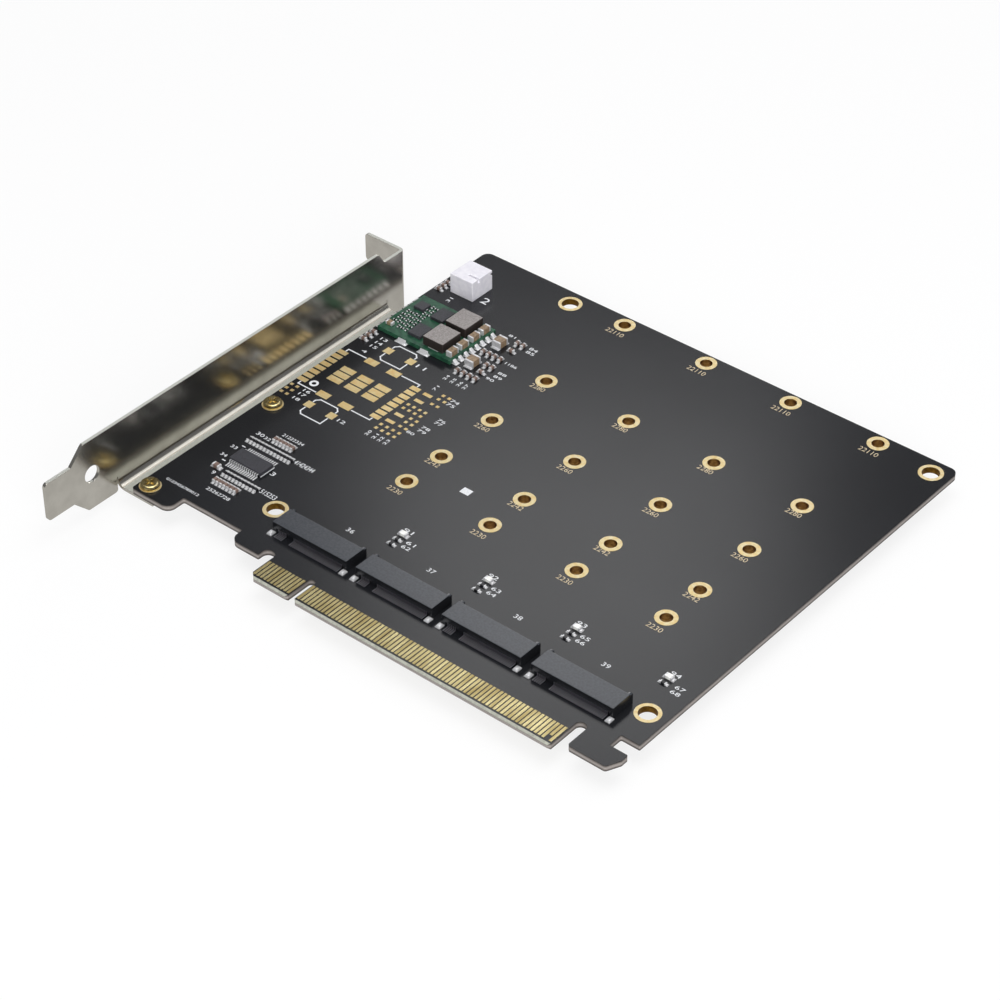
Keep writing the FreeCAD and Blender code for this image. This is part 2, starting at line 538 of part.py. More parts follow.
joints = []
for side in (-1, 1):
    out_x, out_y = Vector(side, 0, 0), Vector(0, side, 0)
    joints += [fillet(REG_X + side * REG_W / 2, fitted_y + dy, Vector(0, 1, 0), out_x, 1.2, 1.3)
               for dy in edge_rows()]
    joints += [fillet(REG_X + dx, fitted_y + side * REG_L / 2, Vector(1, 0, 0), out_y, 2.6, 0.95)
               for dx in (-END_PAD_DX, END_PAD_DX)]
save("regulator_solder_joints", joints)

# ---------------------------------------------------------------- clock buffer and its parts
LEAD_W, LEAD_T, LEAD_KNEE = 0.24, 0.15, 0.4
CHIP_LIFT = 0.1
chip_z = TOP + COPPER_T + CHIP_LIFT
save("clock_chip_body", [centred(CHIP_X, CHIP_Y, CHIP_BODY_X, CHIP_BODY_Y, chip_z, chip_z + CHIP_H)])
edge, end = CHIP_BODY_Y / 2, CHIP_SPAN / 2
knee = edge + LEAD_KNEE
low, high = TOP + COPPER_T, chip_z + 0.45 * CHIP_H
profile = [(edge, high), (knee, high), (knee, low), (end, low), (end, low + LEAD_T),
           (knee + LEAD_T, low + LEAD_T), (knee + LEAD_T, high + LEAD_T), (edge, high + LEAD_T), (edge, high)]
leads = []
for side in (-1, 1):
    for i in range(CHIP_LEADS):
        x = CHIP_X + (i - (CHIP_LEADS - 1) / 2) * CHIP_PITCH
        points = [Vector(x - LEAD_W / 2, CHIP_Y + side * a, z) for a, z in profile]
        leads.append(Part.Face(Part.makePolygon(points)).extrude(Vector(LEAD_W, 0, 0)))
        fitted_pads.append(centred(x, CHIP_Y + side * (end + 0.2), LEAD_W + 0.1, 1.5, TOP, TOP + COPPER_T))
save("clock_chip_leads", leads)


# Rows of parts: first x from the left end of the chip, distance from the lead ends, side and count.
RESISTOR_ROWS = ((-1.95, 3.35, 1, 13), (2.65, 3.15, -1, 10))
CAPACITOR_ROWS = ((2.95, 6.85, 1, 6), (2.85, 6.45, -1, 7))
chip_left, chip_half = CHIP_X - CHIP_BODY_X / 2, CHIP_SPAN / 2


def chip_rows(rows, size):
    return [(chip_left + start + i * PACK, CHIP_Y + side * (chip_half + away), size, True)
            for start, away, side, count in rows for i in range(count)]


fit_on_board("clock_resistor", chip_rows(RESISTOR_ROWS, R0603))
fit_on_board("clock_capacitor", chip_rows(CAPACITOR_ROWS, C0603)
             + [(chip_left - 0.55, CHIP_Y - chip_half - 2.55, C0805, False)])

# ---------------------------------------------------------------- indicators beside the sockets
INDICATOR_DX, INDICATOR_Y, INDICATOR_STEPS = 12.25, 31.9, (2.1, 4.1)
light_x = [x + INDICATOR_DX for x in columns]
fit_on_board("indicator_light", [(x, INDICATOR_Y, LED0805, False) for x in light_x])
fit_on_board("indicator_resistor", [
    (x, INDICATOR_Y - dy, R0603, False) for x in light_x for dy in INDICATOR_STEPS
    if (x, dy) != (light_x[-1], INDICATOR_STEPS[-1])])

# ---------------------------------------------------------------- fan header
HEADER_BACK = 2.6         # solid part behind the cavity
PIN, PIN_PITCH, PIN_Z, PIN_L, LEG_DROP = 0.5, 2.0, 2.5, 4.6, 1.2
LEG_INSET, LEG_BORE = 1.5, 0.9
GROOVE_L, GROOVE_W, GROOVE_DEPTH = 3.2, 0.6, 1.1
NICK, NICK_Z = 0.6, 4.1
mid_y = (HEADER_Y0 + HEADER_Y1) / 2
leg_x = HEADER_X1 - LEG_INSET
pin_y = [mid_y + i * PIN_PITCH for i in (-1, 0, 1)]
pins = []
for y in pin_y:
    bar = centred(leg_x + (PIN - PIN_L) / 2, y, PIN_L, PIN, TOP + PIN_Z, TOP + PIN_Z + PIN)
    leg = centred(leg_x, y, PIN, PIN, BOT - LEG_DROP, TOP + PIN_Z + PIN)
    pins.append(bar.fuse(leg).removeSplitter())
housing = box(HEADER_X0, HEADER_X1, HEADER_Y0, HEADER_Y1, TOP, TOP + HEADER_H)
cavity = box(HEADER_X0 - 1, HEADER_X1 - HEADER_BACK, HEADER_Y0 + HEADER_WALL, HEADER_Y1 - HEADER_WALL,
             TOP + HEADER_WALL, TOP + HEADER_H - HEADER_WALL)
groove = box(HEADER_X1 - GROOVE_L, HEADER_X1 + 1, mid_y - 1.6, mid_y - 1.6 + GROOVE_W,
             TOP + HEADER_H - GROOVE_DEPTH, TOP + HEADER_H + 1)
nick = box(HEADER_X1 - NICK, HEADER_X1 + 1, HEADER_Y1 - NICK, HEADER_Y1 + 1,
           TOP + NICK_Z, TOP + NICK_Z + NICK)
save("fan_header_housing", [housing.cut([cavity, groove, nick] + pins)])
save("fan_header_pins", pins)
header_chips = [(BOARD_LEFT + 1.7, HEADER_Y0 - 1.1 + i * 1.7, C0603, False) for i in range(3)]
fit_on_board("header_chip", header_chips)
save("fitted_part_pads", fitted_pads)

# ---------------------------------------------------------------- printed lines
PRINT_T, PRINT_W = 0.04, 0.32
CORNER_X0, CORNER_X1, CORNER_Y = END_PAD_DX + END_PAD_W / 2 + 0.45, reg_edge - 0.2, REG_L / 2 + 0.4
CORNER_LEG = CORNER_Y - edge_rows()[-1] - EDGE_PAD_L / 2 - 0.275     # ends clear of the last side pad
DOT_DX, DOT_DY, DOT_OUT, DOT_IN = -8.3, -6.6, 2.3, 1.1
LOOP_HIGH, LOOP_LOW, LOOP_CUT = 3.05, 3.95, 0.9
MARK_X, MARK_Y, MARK_W, MARK_L = 5.2, ROW_30 + 5.8, 2.5, 2.0


def stroke(points):
    """Printed line of even width through the points."""
    bars = []
    for (x0, y0), (x1, y1) in zip(points, points[1:]):
        bar = box(-PRINT_W / 2, hypot(x1 - x0, y1 - y0) + PRINT_W / 2, -PRINT_W / 2, PRINT_W / 2,
                  TOP, TOP + PRINT_T)
        bar.rotate(Vector(0, 0, 0), Vector(0, 0, 1), degrees(atan2(y1 - y0, x1 - x0)))
        bar.translate(Vector(x0, y0, 0))
        bars.append(bar)
    return bars[0].fuse(bars[1:]).removeSplitter()


# a corner mark at each corner of the spare footprint, and a ring at its first pad
printed = [stroke([(REG_X + i * CORNER_X0, REG_Y + j * CORNER_Y),
                   (REG_X + i * CORNER_X1, REG_Y + j * CORNER_Y),
                   (REG_X + i * CORNER_X1, REG_Y + j * (CORNER_Y - CORNER_LEG))])
           for i in (-1, 1) for j in (-1, 1)]
printed.append(ring(REG_X + DOT_DX, REG_Y + DOT_DY, DOT_OUT, DOT_IN, TOP, TOP + PRINT_T))
# an outline round each pair of capacitor pads, open at the pads
pad_edge = BULK_PAD / 2 + PRINT_W
for y in (REG_Y + BULK_DY, fitted_y + BULK_DY):
    for high in (1, -1):
        top = LOOP_HIGH if high == 1 else -LOOP_LOW
        cut = LOOP_CUT if high == 1 else 0.01
        printed.append(stroke([
            (REG_X - BULK_DX, y + high * pad_edge), (REG_X - BULK_DX, y + top - high * LOOP_CUT),
            (REG_X - BULK_DX + LOOP_CUT, y + top), (REG_X + BULK_DX - cut, y + top),
            (REG_X + BULK_DX, y + top - high * cut), (REG_X + BULK_DX, y + high * pad_edge)]))
printed.append(centred(MARK_X, MARK_Y, MARK_W, MARK_L, TOP, TOP + PRINT_T))
save("board_print", printed)

# ---------------------------------------------------------------- board, bored last for every leg and barrel
bores += [rod(leg_x, y, LEG_BORE, BOT, TOP) for y in pin_y]
save("main_board", [board.cut(bores)])
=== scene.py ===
# %% [markdown]
# # An adapter card for four solid-state modules
#
# The card is a black circuit board with a gold edge connector, a row of low black sockets, rows of
# gold-ringed screw holes, a small green power module and a nickel-plated steel bracket.
# Its shapes are already solid models. Here they get their finishes, their softened edges and the
# fine things that solids leave out: printed numbers, domes of solder and threads.

# %% Load the frame
import bpy, bmesh, json, math
from mathutils import Matrix, Vector


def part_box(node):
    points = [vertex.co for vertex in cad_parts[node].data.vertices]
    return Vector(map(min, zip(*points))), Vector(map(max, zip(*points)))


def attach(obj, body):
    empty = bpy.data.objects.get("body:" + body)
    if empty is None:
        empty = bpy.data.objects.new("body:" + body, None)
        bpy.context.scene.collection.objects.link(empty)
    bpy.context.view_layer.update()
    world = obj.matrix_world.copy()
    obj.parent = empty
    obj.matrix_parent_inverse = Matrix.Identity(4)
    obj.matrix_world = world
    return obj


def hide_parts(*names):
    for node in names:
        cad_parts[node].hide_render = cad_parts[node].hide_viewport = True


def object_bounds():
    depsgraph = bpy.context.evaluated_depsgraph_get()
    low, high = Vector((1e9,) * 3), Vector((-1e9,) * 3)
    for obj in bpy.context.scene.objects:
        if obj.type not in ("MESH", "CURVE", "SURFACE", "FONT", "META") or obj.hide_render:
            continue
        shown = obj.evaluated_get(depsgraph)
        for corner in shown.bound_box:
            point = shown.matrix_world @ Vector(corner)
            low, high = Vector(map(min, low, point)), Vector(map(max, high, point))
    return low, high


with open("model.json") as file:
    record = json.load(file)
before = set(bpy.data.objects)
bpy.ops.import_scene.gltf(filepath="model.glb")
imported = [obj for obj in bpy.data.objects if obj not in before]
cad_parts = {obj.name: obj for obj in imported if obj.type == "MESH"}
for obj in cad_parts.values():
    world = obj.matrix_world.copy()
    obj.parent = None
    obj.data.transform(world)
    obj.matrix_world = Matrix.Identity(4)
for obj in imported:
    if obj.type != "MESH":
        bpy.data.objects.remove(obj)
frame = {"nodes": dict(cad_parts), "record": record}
CAD_BOX = [list(corner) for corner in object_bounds()]
NODES = frame["nodes"]
MM = 0.001
print("nodes:", len(NODES), "box in mm:", [[round(v / MM, 1) for v in c] for c in CAD_BOX])

# %% [markdown]
# ## Places
#
# The board gives the face that the numbers are printed on, the sockets give the four columns, and
# the nut bodies give the rows of screw holes.

# %% Places read from the solids
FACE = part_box("main_board")[1][2]
MODULES = (1, 2, 3, 4)
SOCKETS = ["socket_%d_housing" % i for i in MODULES]
LENGTHS = ("2230", "2242", "2260", "2280", "22110")


def middle(solid):
    low, high = (Vector(c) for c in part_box(solid))
    return (low + high) / 2


COLUMNS = [middle(name).x for name in SOCKETS]
ROWS = {length: middle("module_nuts_" + length).y for length in LENGTHS}
print("columns at", [round(x / MM, 2) for x in COLUMNS])
print("rows at", [round(y / MM, 1) for y in ROWS.values()])

# %% [markdown]
# ## Colours and nodes
#
# A paint chart gives colours as hex values for a screen, while the renderer works in linear light,
# so one function converts them. Another adds any node with its settings and links. A finish is then
# a pattern of a real size, the tones that it runs between, and the small bumps that it leaves.


# %% Helpers for materials
def linear(hex_colour):
    values = [int(hex_colour[i:i + 2], 16) / 255 for i in (1, 3, 5)]
    return [v / 12.92 if v <= 0.04045 else ((v + 0.055) / 1.055) ** 2.4 for v in values] + [1.0]


def join(tree, made, **links):
    """Sets or links a node's inputs by name, or by number, as in i3, where a name comes twice."""
    for key, value in links.items():
        socket = made.inputs[int(key[1:]) if key[1:].isdigit() else key.replace("_", " ")]
        if isinstance(value, bpy.types.NodeSocket):
            tree.links.new(value, socket)
        else:
            socket.default_value = value


def node(tree, kind, settings=None, stops=(), **links):
    """Adds a node. settings holds its properties, and stops the (place, hex colour) of a ramp."""
    made = tree.nodes.new(kind)
    for key, value in (settings or {}).items():
        setattr(made, key, value)
    for _ in stops[2:]:     # a new ramp has two stops already
        made.color_ramp.elements.new(0.5)
    for number, (place, colour) in enumerate(stops):
        element = made.color_ramp.elements[number]
        element.position, element.color = place, linear(colour)
    join(tree, made, **links)
    return made


def material(name, colour, roughness, metallic=0.0, **shader):
    made = bpy.data.materials.new(name)
    made.use_nodes = True
    tree = made.node_tree
    bsdf = tree.nodes["Principled BSDF"]
    join(tree, bsdf, Base_Color=linear(colour), Roughness=roughness, Metallic=metallic, **shader)
    return made, tree, bsdf


def blotches(tree, size_mm, detail=3.0, stretch=(1, 1, 1)):
    """A cloudy pattern with blotches about size_mm wide, longer where stretch is small."""
    place = node(tree, "ShaderNodeTexCoord").outputs["Object"]
    pulled = node(tree, "ShaderNodeMapping", Vector=place, Scale=stretch).outputs[0]
    return node(tree, "ShaderNodeTexNoise", Vector=pulled, Scale=1 / (size_mm * MM), Detail=detail).outputs[0]


def how_flat(tree):
    """1 where a surface lies flat on the card, 0 on an upright wall."""
    facing = node(tree, "ShaderNodeNewGeometry").outputs["Normal"]
    upright = node(tree, "ShaderNodeSeparateXYZ", Vector=facing).outputs["Z"]
    return node(tree, "ShaderNodeMath", {"operation": "ABSOLUTE"}, i0=upright).outputs[0]


print("helpers ready; mid grey is", [round(v, 3) for v in linear("#808080")[:3]])

# %% [markdown]
# ## The board's finish
#
# A circuit board is glass-fibre laminate under a thin lacquer called solder mask. Black mask is never
# quite black: it is a satin dark grey that picks up the light of the room. The cut edges are bare
# laminate, a grey-brown with fine layers, and the bevel of the connecting edge shows it pale.
# The surface direction tells the shader where it is on a face and where on an edge.


# %% Black solder mask over laminate
MASK_ROUGHNESS, CUT_ROUGHNESS = 0.2, 0.75
FACE_FLAT, BEVEL_FLAT = 0.95, 0.4       # a face is flatter than the first, a bevel than the second
RAGGED, EDGE_DEPTH = 0.5, 1.25          # shares of half the board's thickness


def solder_mask():
    """Lacquer on the faces, layers of laminate on the cut edges and pale laminate on the bevel."""
    made, tree, bsdf = material("Black solder mask on laminate", "#18191c", MASK_ROUGHNESS,
                                Specular_IOR_Level=0.45)
    face = node(tree, "ShaderNodeValToRGB", stops=((0.35, "#16171a"), (0.65, "#1c1d20")),
                i0=blotches(tree, 30.0, 2.0)).outputs[0]
    place = node(tree, "ShaderNodeTexCoord").outputs["Object"]
    height = node(tree, "ShaderNodeSeparateXYZ", Vector=place).outputs["Z"]
    off_middle = node(tree, "ShaderNodeMath", {"operation": "ABSOLUTE"}, i0=height).outputs[0]
    layers = node(tree, "ShaderNodeMath", {"operation": "MULTIPLY_ADD"}, i1=RAGGED * FACE, i2=off_middle,
                  i0=blotches(tree, 0.9, 3.0, (0.3, 0.3, 3.0))).outputs[0]
    depth = node(tree, "ShaderNodeMath", {"operation": "DIVIDE"}, i0=layers, i1=EDGE_DEPTH * FACE).outputs[0]
    edge_tones = ((0.2, "#9a9490"), (0.55, "#7b746f"), (0.8, "#4a4542"), (0.95, "#2c2a29"))
    edge = node(tree, "ShaderNodeValToRGB", stops=edge_tones, i0=depth).outputs[0]
    bevel = node(tree, "ShaderNodeValToRGB", stops=((0.3, "#8f9186"), (0.7, "#b3b4a8")),
                 i0=blotches(tree, 0.5, 2.0)).outputs[0]
    flatness = how_flat(tree)
    is_cut = node(tree, "ShaderNodeMath", {"operation": "LESS_THAN"}, i0=flatness, i1=FACE_FLAT).outputs[0]
    is_bevel = node(tree, "ShaderNodeMath", {"operation": "GREATER_THAN"}, i0=flatness,
                    i1=BEVEL_FLAT).outputs[0]
    cut = node(tree, "ShaderNodeMix", {"data_type": "RGBA"}, i0=is_bevel, i6=edge, i7=bevel).outputs[2]
    tone = node(tree, "ShaderNodeMix", {"data_type": "RGBA"}, i0=is_cut, i6=face, i7=cut).outputs[2]
    dull = node(tree, "ShaderNodeMapRange", i0=is_cut, i3=MASK_ROUGHNESS, i4=CUT_ROUGHNESS).outputs[0]
    weave = node(tree, "ShaderNodeBump", Strength=1.0, Distance=0.003 * MM,
                 Height=blotches(tree, 0.6, 2.0)).outputs[0]
    join(tree, bsdf, Base_Color=tone, Roughness=dull, Normal=weave)
    return made


BOARD_MASK = solder_mask()
print("made", BOARD_MASK.name)

# %% [markdown]
# ## Metals
#
# Gold on a board is a skin less than a micron thick over nickel, so it is bright and pale. The
# fingers of the edge connector are hard gold, polished by plugging. Pads and rings are immersion
# gold, a little duller and yellower. The bracket is mild steel with a satin nickel plate: it mirrors
# the board as soft blurs. Its screws are steel with a yellow zinc plate. Solder and tin plate grow a
# thin oxide skin. A metallic value below one stands for it and keeps them pale from every side.
# The crystals of a plate are too fine to show, so its clouds are drawn from 0.3 to 5 mm wide.


# %% Gold, tin and zinc
def plated(name, dark, light, roughness, speck_mm, stretch=(1, 1, 1), dents=0.002, wall=None, metallic=1.0):
    """A plated metal: colour wanders between two tones, and roughness with it. Upright walls of
    a hole may take darker tones of their own: painted shade inside the hole."""
    made, tree, bsdf = material(name, light, roughness, metallic)
    cloud = blotches(tree, speck_mm, 4.0, stretch)
    tone = node(tree, "ShaderNodeValToRGB", stops=((0.3, dark), (0.7, light)), i0=cloud).outputs[0]
    # upright walls of a hole get the darker tones: painted shade inside the hole
    if wall:
        painted_hole_shade = node(tree, "ShaderNodeValToRGB", stops=((0.3, wall[0]), (0.7, wall[1])),
                       i0=cloud).outputs[0]
        tone = node(tree, "ShaderNodeMix", {"data_type": "RGBA"}, i0=how_flat(tree), i6=painted_hole_shade,
                    i7=tone).outputs[2]
    polish = node(tree, "ShaderNodeMapRange", i0=cloud, i3=roughness * 1.25, i4=roughness * 0.8).outputs[0]
    skin = node(tree, "ShaderNodeBump", Strength=1.0, Distance=dents * MM,
                Height=blotches(tree, speck_mm / 4, 3.0, stretch)).outputs[0]
    join(tree, bsdf, Base_Color=tone, Roughness=polish, Normal=skin)
    return made


FINGER_GOLD = plated("Hard gold on nickel", "#b8a36a", "#dccf9c", 0.28, 1.2, (1, 0.15, 1))
PRINT_GOLD = plated("Gold of the printed sizes", "#e2cfae", "#f6e8cc", 0.55, 0.5)
PAD_GOLD = plated("Immersion gold", "#f6d896", "#ffecba", 0.52, 1.5)
# the dark brown wall tones are painted shade inside the ring's hole
RING_GOLD = plated("Immersion gold on a rolled ring", "#f6dc9c", "#fff2cc", 0.5, 1.0,
                   wall=("#5f4012", "#8f6a2a"))
SCREW_ZINC = plated("Yellow zinc on screw steel", "#b39a5c", "#eadcab", 0.2, 0.8)
SOLDER = plated("Cooled tin solder", "#e2e2e4", "#fafafb", 0.34, 0.35, dents=0.006, metallic=0.6)
TIN = plated("Tin plate", "#d8d8da", "#f4f4f5", 0.5, 0.6, metallic=0.6)
FOOT_TIN = plated("Dull tin on contact feet", "#a8a6ac", "#d0ced4", 0.45, 0.3)
print("plated:", [m.name for m in (FINGER_GOLD, PRINT_GOLD, PAD_GOLD, RING_GOLD, SCREW_ZINC)])
print("tinned:", [m.name for m in (SOLDER, TIN, FOOT_TIN)])

# %% Nickel
GROUND_AND_LIT_FLAT, GROUND_ROUGHNESS = 0.985, 0.65     # steel left matt by grinding, and painted lighter as if lit from above, lies flatter than the first


def nickel():
    """Satin nickel over rolled steel. Sheared edges and the flange, left matt by grinding, lie flat; their
    tone is painted lighter as if lit from above.
    """
    made, tree, bsdf = material("Satin nickel on steel", "#d8d5ce", 0.2, 1.0)
    cloud = blotches(tree, 5.0, 4.0)
    # flat faces are matt, and their lighter tone is painted light from above
    matt_and_lit = node(tree, "ShaderNodeMath", {"operation": "GREATER_THAN"}, i0=how_flat(tree),
                  i1=GROUND_AND_LIT_FLAT).outputs[0]
    rolled = node(tree, "ShaderNodeValToRGB", stops=((0.3, "#c5c1b7"), (0.7, "#d5d1c7")), i0=cloud).outputs[0]
    # flat faces take the lighter tone: painted light from above
    tone = node(tree, "ShaderNodeMix", {"data_type": "RGBA"}, i0=matt_and_lit, i6=rolled,
                i7=linear("#e0e1da")).outputs[2]
    polish = node(tree, "ShaderNodeMapRange", i0=cloud, i3=0.24, i4=0.19).outputs[0]
    matt = node(tree, "ShaderNodeMix", i0=matt_and_lit, i2=polish, i3=GROUND_ROUGHNESS).outputs[0]
    skin = node(tree, "ShaderNodeBump", Strength=1.0, Distance=0.0006 * MM,
                Height=blotches(tree, 1.2, 3.0)).outputs[0]
    join(tree, bsdf, Base_Color=tone, Roughness=matt, Normal=skin)
    return made


NICKEL = nickel()
print("made", NICKEL.name)

# %% Threaded brass
THREAD_PITCH = 0.45     # mm
WAVE_RATE = 20          # radians that a wave texture turns per metre at scale 1


def thread_brass():
    """Brass of the nut bodies. Fine rings up the bore read as its thread."""
    made, tree, bsdf = material("Turned and threaded brass", "#8f6a2c", 0.3, 1.0)
    tone = node(tree, "ShaderNodeValToRGB", stops=((0.3, "#7a5624"), (0.7, "#bd8f4e")),
                i0=blotches(tree, 0.8, 3.0)).outputs[0]
    place = node(tree, "ShaderNodeTexCoord").outputs["Object"]
    turns = node(tree, "ShaderNodeTexWave", {"bands_direction": "Z"}, Vector=place,
                 Scale=2 * math.pi / (WAVE_RATE * THREAD_PITCH * MM), Distortion=0.0, Detail=0.0).outputs[1]
    thread = node(tree, "ShaderNodeBump", Strength=1.0, Distance=0.06 * MM, Height=turns).outputs[0]
    join(tree, bsdf, Base_Color=tone, Normal=thread)
    return made


NUT_BRASS = thread_brass()
print("made", NUT_BRASS.name)

# %% [markdown]
# ## Moulded, pressed and fired parts
#
# Chip packages are epoxy filled with ground glass, so they are dark, matt and finely speckled.
# Sockets are a liquid-crystal polymer with a faint flow grain. The fan header is white nylon, which
# lets a little light in. Inductors are pressed from iron powder. Chip capacitors are fired ceramic,
# tan or brown, and resistors carry a black glaze. The grains of a filler or a powder are too fine to
# show, so the specks are drawn from a quarter of a millimetre up.


# %% Plastics, ferrite and ceramics
def speckled(name, dark, light, roughness, speck_mm, depth=0.004, side=None, **shader):
    """A filled plastic or a ceramic: two close tones in fine specks, with a matching grain.
    Upright sides may have a darker tone of their own: painted shade on the walls."""
    made, tree, bsdf = material(name, light, roughness, **shader)
    specks = blotches(tree, speck_mm, 5.0)
    tone = node(tree, "ShaderNodeValToRGB", stops=((0.38, dark), (0.62, light)), i0=specks).outputs[0]
    # upright sides take the side tone: painted shade on the walls
    if side:
        tone = node(tree, "ShaderNodeMix", {"data_type": "RGBA"}, i0=how_flat(tree), i6=linear(side),
                    i7=tone).outputs[2]
    sheen = node(tree, "ShaderNodeMapRange", i0=specks, i3=roughness * 0.85, i4=roughness * 1.15).outputs[0]
    bumps = node(tree, "ShaderNodeBump", Strength=1.0, Distance=depth * MM, Height=specks).outputs[0]
    join(tree, bsdf, Base_Color=tone, Roughness=sheen, Normal=bumps)
    return made


EPOXY = speckled("Black moulding epoxy", "#2c2c30", "#414147", 0.46, 0.25)
# the very dark side tone of the sockets is painted shade on their upright walls
POLYMER = speckled("Black liquid-crystal polymer", "#33363b", "#3e4147", 0.24, 0.5, 0.001,
                   side="#17181b", Specular_IOR_Level=0.62)
NYLON = speckled("White nylon", "#e4e2ea", "#efedf3", 0.38, 1.5, 0.004, Subsurface_Weight=0.2,
                 Subsurface_Scale=0.001, Subsurface_Radius=(1.0, 1.0, 1.0))
# the dark brown side tone of the inductors is painted shade on their upright walls
FERRITE = speckled("Pressed iron powder", "#837d7b", "#9c9795", 0.55, 0.35, 0.012, side="#2a2321")
TAN_CERAMIC = speckled("Tan fired ceramic", "#7a6752", "#99836a", 0.42, 0.6)
BROWN_CERAMIC = speckled("Brown fired ceramic", "#6c5850", "#8c776d", 0.42, 0.5)
GLAZE = speckled("Black resistor glaze", "#141416", "#26262a", 0.25, 0.3)
RESIN = speckled("White indicator with clear resin", "#e9e9e4", "#fbfbf8", 0.15, 0.6, 0.002)
GREEN_MASK = speckled("Green solder mask", "#1a4030", "#2c5a42", 0.34, 1.1, 0.006)
INK = speckled("White marking ink", "#d8dade", "#eceef0", 0.6, 0.25, 0.002)
print("materials so far:", len(bpy.data.materials))

# %% [markdown]
# ## From solid to visible piece
#
# A solid's mesh is loose triangles with knife-sharp edges. Real parts have small rounds that catch
# the light. `dress` copies a node, merges the triangles, rounds each sharp edge by a real radius and
# puts the copy in the node's place. Where an edge must stay crisp the radius is zero and only the
# curved walls are smoothed.


# %% Dress a solid
CREASED, ROUNDED = 35, 40       # degrees between faces, from which an edge stays crisp or gets a round
JOINED = 0.5                    # degrees between faces, up to which they are one flat region


def adopt(piece, slot, *stands_for):
    """Every piece rides on the card, and the solids that it stands for are hidden. slot, the finish, is not
    used.
    """
    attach(piece, "root")
    if stands_for:
        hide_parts(*stands_for)
    return piece


def slot_of(name):
    return next(s["material_slot"] for s in frame["record"]["subparts"] if s["node"] == name)


def finish_mesh(bm, name, finish):
    mesh = bpy.data.meshes.new(name)
    bm.to_mesh(mesh)
    bm.free()
    mesh.shade_smooth()
    mesh.set_sharp_from_angle(angle=math.radians(CREASED))
    mesh.materials.append(finish)
    piece = bpy.data.objects.new(name, mesh)
    bpy.context.collection.objects.link(piece)
    even = piece.modifiers.new("Even shading", "WEIGHTED_NORMAL")
    even.keep_sharp = True
    return piece


def merged(name):
    """A CAD node as one clean bmesh with flat regions joined."""
    bm = bmesh.new()
    bm.from_mesh(NODES[name].data)
    for spare in list(bm.verts.layers.deform.values()):
        bm.verts.layers.deform.remove(spare)
    bmesh.ops.remove_doubles(bm, verts=bm.verts, dist=1e-7)
    bmesh.ops.dissolve_limit(bm, angle_limit=math.radians(JOINED), verts=bm.verts, edges=bm.edges)
    return bm


def dress(name, finish, radius_mm=0.0, segments=2):
    bm = merged(name)
    if radius_mm:
        edges = [e for e in bm.edges if e.is_manifold and e.calc_face_angle(0) > math.radians(ROUNDED)]
        bmesh.ops.bevel(bm, geom=edges, offset=radius_mm * MM, segments=segments, profile=0.5,
                        affect="EDGES", clamp_overlap=True)
    for face in bm.faces:
        face.material_index = 0
    return adopt(finish_mesh(bm, name + "_dressed", finish), slot_of(name), name)


SOFTENED = [("bracket", NICKEL, 0.12, 2)] + [(name, POLYMER, 0.12, 2) for name in SOCKETS]
SOFTENED += [("fan_header_housing", NYLON, 0.15, 3), ("regulator_inductors", FERRITE, 0.14, 2),
             ("regulator_board", GREEN_MASK, 0.05, 1), ("clock_chip_body", EPOXY, 0.12, 2),
             ("regulator_power_stages", EPOXY, 0.06, 1), ("regulator_controller", EPOXY, 0.06, 1)]
dressed = [dress(*piece) for piece in SOFTENED]
print("dressed:", {p.name: len(p.data.polygons) for p in dressed})

# %% Dress the chips and their end caps
for group, finish in (("output_capacitor", TAN_CERAMIC), ("regulator_capacitor", TAN_CERAMIC),
                      ("regulator_side_chip", BROWN_CERAMIC), ("input_chip", BROWN_CERAMIC),
                      ("header_chip", BROWN_CERAMIC), ("clock_capacitor", BROWN_CERAMIC),
                      ("clock_resistor", GLAZE), ("regulator_chip", GLAZE), ("indicator_resistor", GLAZE),
                      ("indicator_light", RESIN)):
    dressed.append(dress(group + "_bodies", finish, 0.05, 1))
    dressed.append(dress(group + "_terminals", TIN, 0.08, 2))
print("pieces now:", len(dressed))

# %% Plated and metal nodes
for name in ("module_nut_rings", "fan_hole_rings", "bracket_screw_rings"):
    dressed.append(dress(name, RING_GOLD, 0.02, 1))
for name, finish in (("bracket_screws", SCREW_ZINC), ("clock_chip_leads", TIN), ("fan_header_pins", TIN),
                     ("regulator_inductor_terminals", TIN)):
    dressed.append(dress(name, finish, 0.03, 1))
for length in LENGTHS:
    dressed.append(dress("module_nuts_" + length, NUT_BRASS, 0.0))
COATED = [("edge_contacts_component_side", FINGER_GOLD), ("edge_contacts_solder_side", FINGER_GOLD),
          ("spare_regulator_pads", PAD_GOLD), ("spare_part_pads", PAD_GOLD),
          ("bulk_capacitor_pads", PAD_GOLD), ("main_board", BOARD_MASK), ("board_print", INK)]
COATED += [("socket_%d_contacts" % i, FOOT_TIN) for i in MODULES]
for name, finish in COATED:
    NODES[name].data.materials.clear()
    NODES[name].data.materials.append(finish)
print("pieces now:", len(dressed), "and nodes left as they are:", len(COATED))

# %% [markdown]
# ## Solder
#
# Melted solder pulls itself into a low dome on every pad and climbs a little way up the end cap that
# stands in it. A dome here is a small grid whose height falls to nothing at the edge of its pad.
# It is added on top of the flat pads of the solid, so that pads and domes are one piece.


# %% Domes of solder on the fitted pads
DOME_SUNK = 0.01        # mm that a dome's flat base lies below the top of its pad


